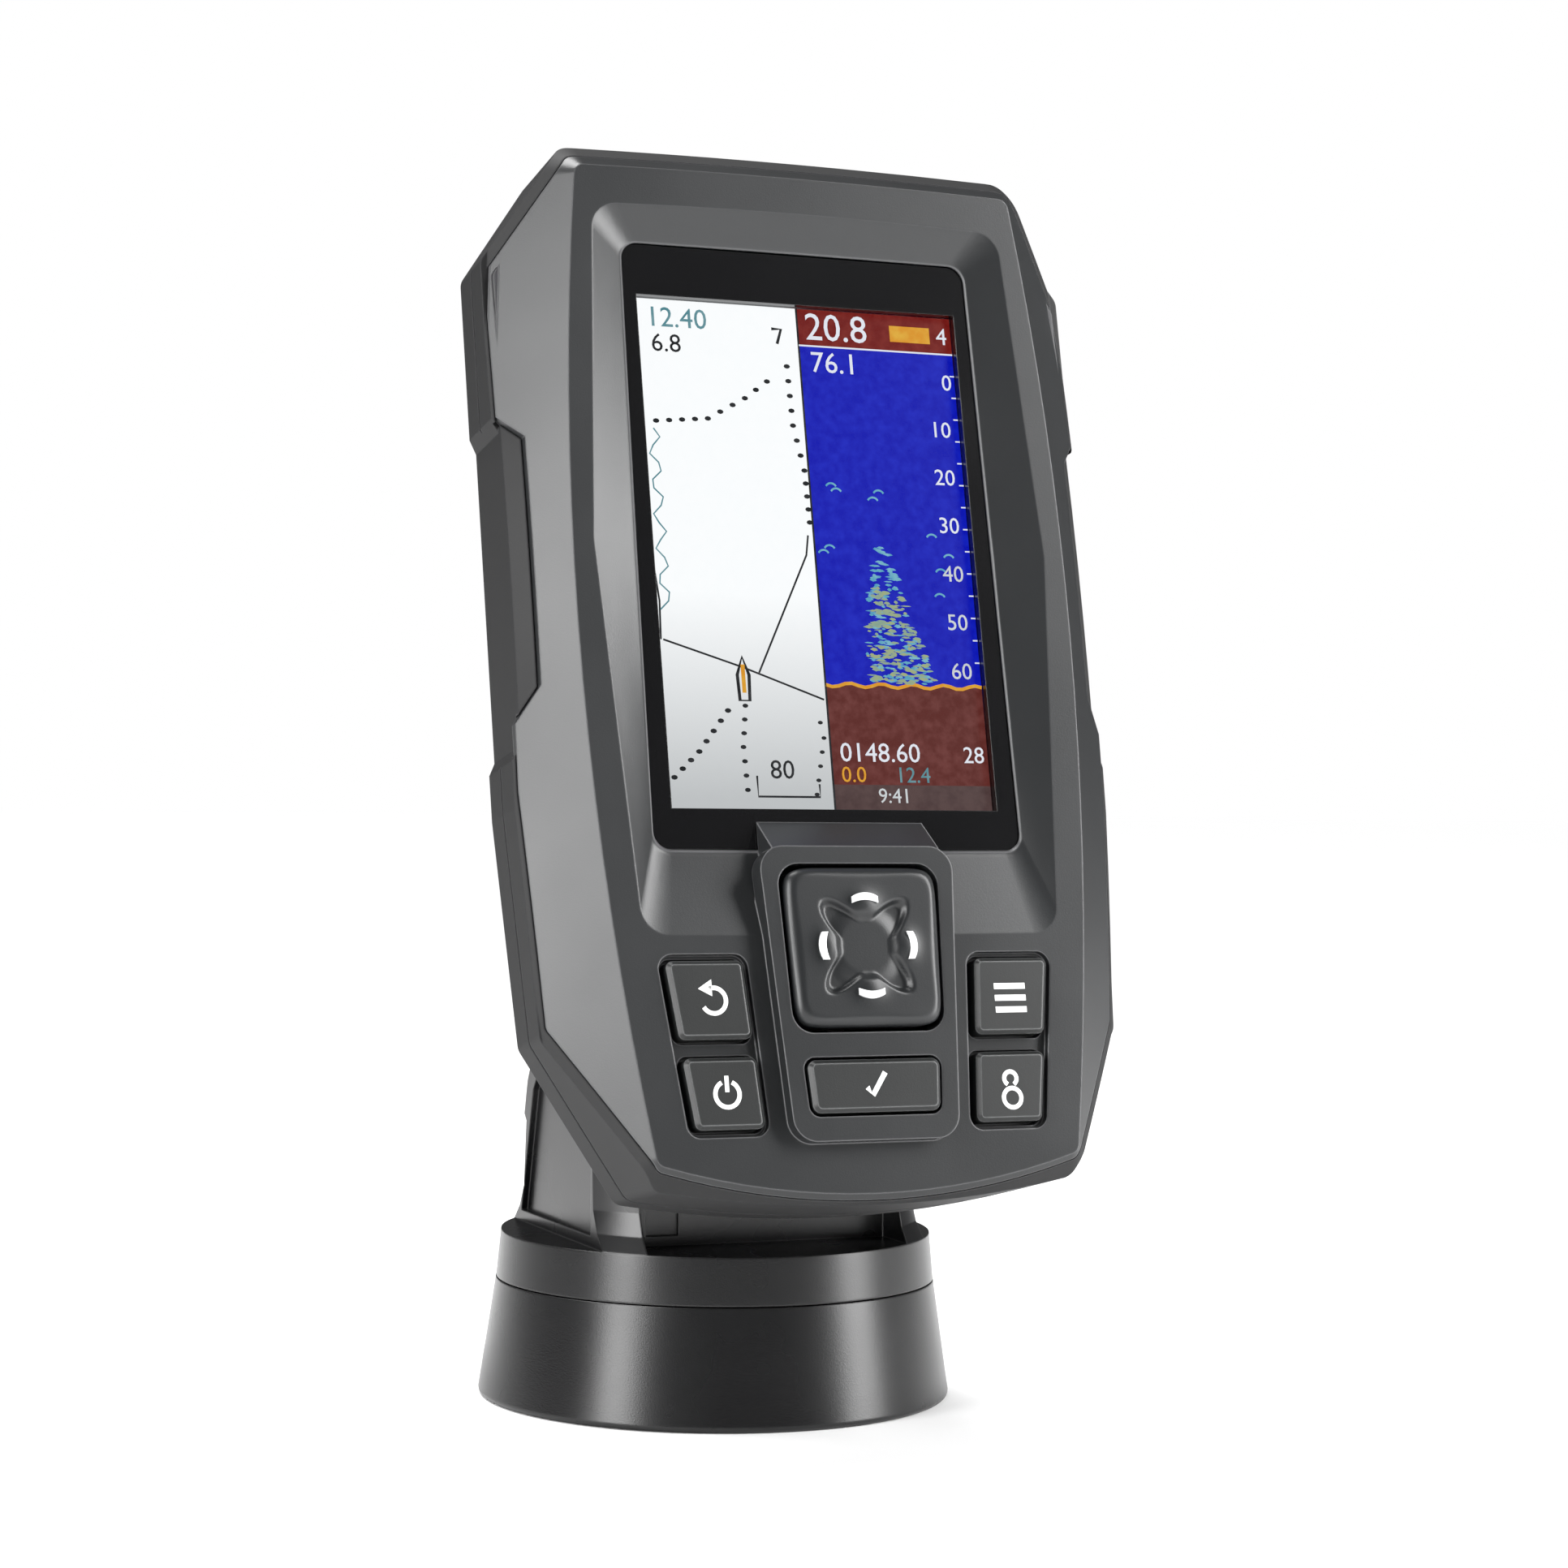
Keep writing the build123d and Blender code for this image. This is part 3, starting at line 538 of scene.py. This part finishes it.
back_x, back_z = -22.2, -64.4
arrow = ring_points(back_x, back_z, 1.75, 110, -150, 22)
legend("back_legend", strip(arrow, LINE), "back_key", KEY_Y)
tip = [(back_x - 2.2, back_z + 1.65), (back_x - 0.2, back_z + 2.9), (back_x - 0.2, back_z + 0.6)]
legend("back_legend_head", [tip], "back_key", KEY_Y)
power_x, power_z = -21.2, -77.1
legend("power_legend", strip(ring_points(power_x, power_z, 1.75, 115, 425, 26), LINE),
       "power_key", KEY_Y)
legend("power_legend_bar", [[(power_x - 0.3, power_z + 0.3), (power_x + 0.3, power_z + 0.3),
                             (power_x + 0.3, power_z + 2.5), (power_x - 0.3, power_z + 2.5)]],
       "power_key", KEY_Y)
menu_x, menu_z = 22.3, -64.6
legend("menu_legend", [[(menu_x - 2.4, z - 0.42), (menu_x + 2.4, z - 0.42),
                        (menu_x + 2.4, z + 0.42), (menu_x - 2.4, z + 0.42)]
                       for z in (menu_z - 1.65, menu_z, menu_z + 1.65)], "menu_key", KEY_Y)
mark_x, mark_z = 21.3, -77.3
legend("mark_legend", strip(ring_points(mark_x, mark_z - 1.3, 1.35, 0, 342, 20), LINE,
                            True), "mark_key", KEY_Y)
legend("mark_legend_pin", strip(ring_points(mark_x - 0.1, mark_z + 1.4, 0.95, -60, 240, 18),
                                LINE), "mark_key", KEY_Y)
check = [(-1.5, -76.9), (-0.7, -77.9), (1.3, -74.9)]
legend("ok_legend", strip(check, 0.75), "ok_key", OK_Y)

# ------------------------------------------------------------------ stage, lights, camera
CAMERA_AT = Vector((-0.19589, -0.48674, 0.09395))
AZIMUTH, ELEVATION, ROLL = (math.radians(a) for a in (-22.96, 0.24, 0.76))
LENS_MM = 79.67

floor_mesh = bpy.data.meshes.new("floor")
reach = 6.0
floor_mesh.from_pydata([(-reach, -reach, 0), (reach, -reach, 0), (reach, reach, 0),
                        (-reach, reach, 0)], [], [(0, 1, 2, 3)])
floor = bpy.data.objects.new("floor", floor_mesh)
bpy.context.scene.collection.objects.link(floor)
floor_look = Nodes("floor paper")
spot = floor_look.add("ShaderNodeTexNoise", Scale=30.0)
floor_look.feed(floor_look.shader, "Base Color",
                floor_look.blend((0.965, 0.965, 0.965, 1), (0.975, 0.975, 0.975, 1),
                                 spot.outputs["Fac"]))
floor_look.shader.inputs["Roughness"].default_value = 0.9
floor_mesh.materials.append(floor_look.material)

world = bpy.data.worlds.new("studio")
bpy.context.scene.world = world
world.use_nodes = True
sky = world.node_tree
sky.nodes["Background"].inputs["Color"].default_value = (1.0, 1.0, 1.0, 1.0)
sky.nodes["Background"].inputs["Strength"].default_value = 0.10
seen = sky.nodes.new("ShaderNodeBackground")
seen.inputs["Color"].default_value = (1.0, 1.0, 1.0, 1.0)
seen.inputs["Strength"].default_value = 1.0
choose = sky.nodes.new("ShaderNodeMixShader")
path = sky.nodes.new("ShaderNodeLightPath")
sky.links.new(path.outputs["Is Camera Ray"], choose.inputs["Fac"])
sky.links.new(sky.nodes["Background"].outputs[0], choose.inputs[1])
sky.links.new(seen.outputs[0], choose.inputs[2])
sky.links.new(choose.outputs[0], sky.nodes["World Output"].inputs["Surface"])


def softbox(name, place, aim, width, height, watts):
    """A rectangular area light at `place`, facing `aim`."""
    lamp = bpy.data.lights.new(name, "AREA")
    lamp.shape = "RECTANGLE"
    lamp.size, lamp.size_y, lamp.energy = width, height, watts
    made = bpy.data.objects.new(name, lamp)
    made.location = place
    made.rotation_euler = (Vector(aim) - Vector(place)).to_track_quat("-Z", "Y").to_euler()
    bpy.context.scene.collection.objects.link(made)


HEAD_MIDDLE = (0.0, -0.04, 0.11)
softbox("right_front", (0.58, -0.42, 0.38), HEAD_MIDDLE, 0.28, 0.8, 10.0)
softbox("left", (-0.95, -0.36, 0.36), HEAD_MIDDLE, 0.34, 0.9, 13.0)
sun = bpy.data.lights.new("ceiling", "SUN")
sun.energy = 3.3
sun.angle = math.radians(35)
ceiling = bpy.data.objects.new("ceiling", sun)
ceiling.rotation_euler = Vector((0.22, -0.30, -1.0)).to_track_quat("-Z", "Y").to_euler()
bpy.context.scene.collection.objects.link(ceiling)

back = Vector((math.sin(AZIMUTH) * math.cos(ELEVATION), -math.cos(AZIMUTH) * math.cos(ELEVATION),
               math.sin(ELEVATION)))
side = (-back).cross(Vector((0, 0, 1))).normalized()
over = side.cross(-back)
side_rolled = side * math.cos(ROLL) + over * math.sin(ROLL)
over_rolled = over * math.cos(ROLL) - side * math.sin(ROLL)
camera = bpy.data.objects.new("camera", bpy.data.cameras.new("camera"))
camera.data.lens = LENS_MM
camera.data.sensor_width = 36.0
camera.matrix_world = Matrix((side_rolled, over_rolled, back)).transposed().to_4x4()
camera.location = CAMERA_AT
bpy.context.scene.collection.objects.link(camera)
bpy.context.scene.camera = camera
bpy.context.scene.view_settings.view_transform = "Standard"
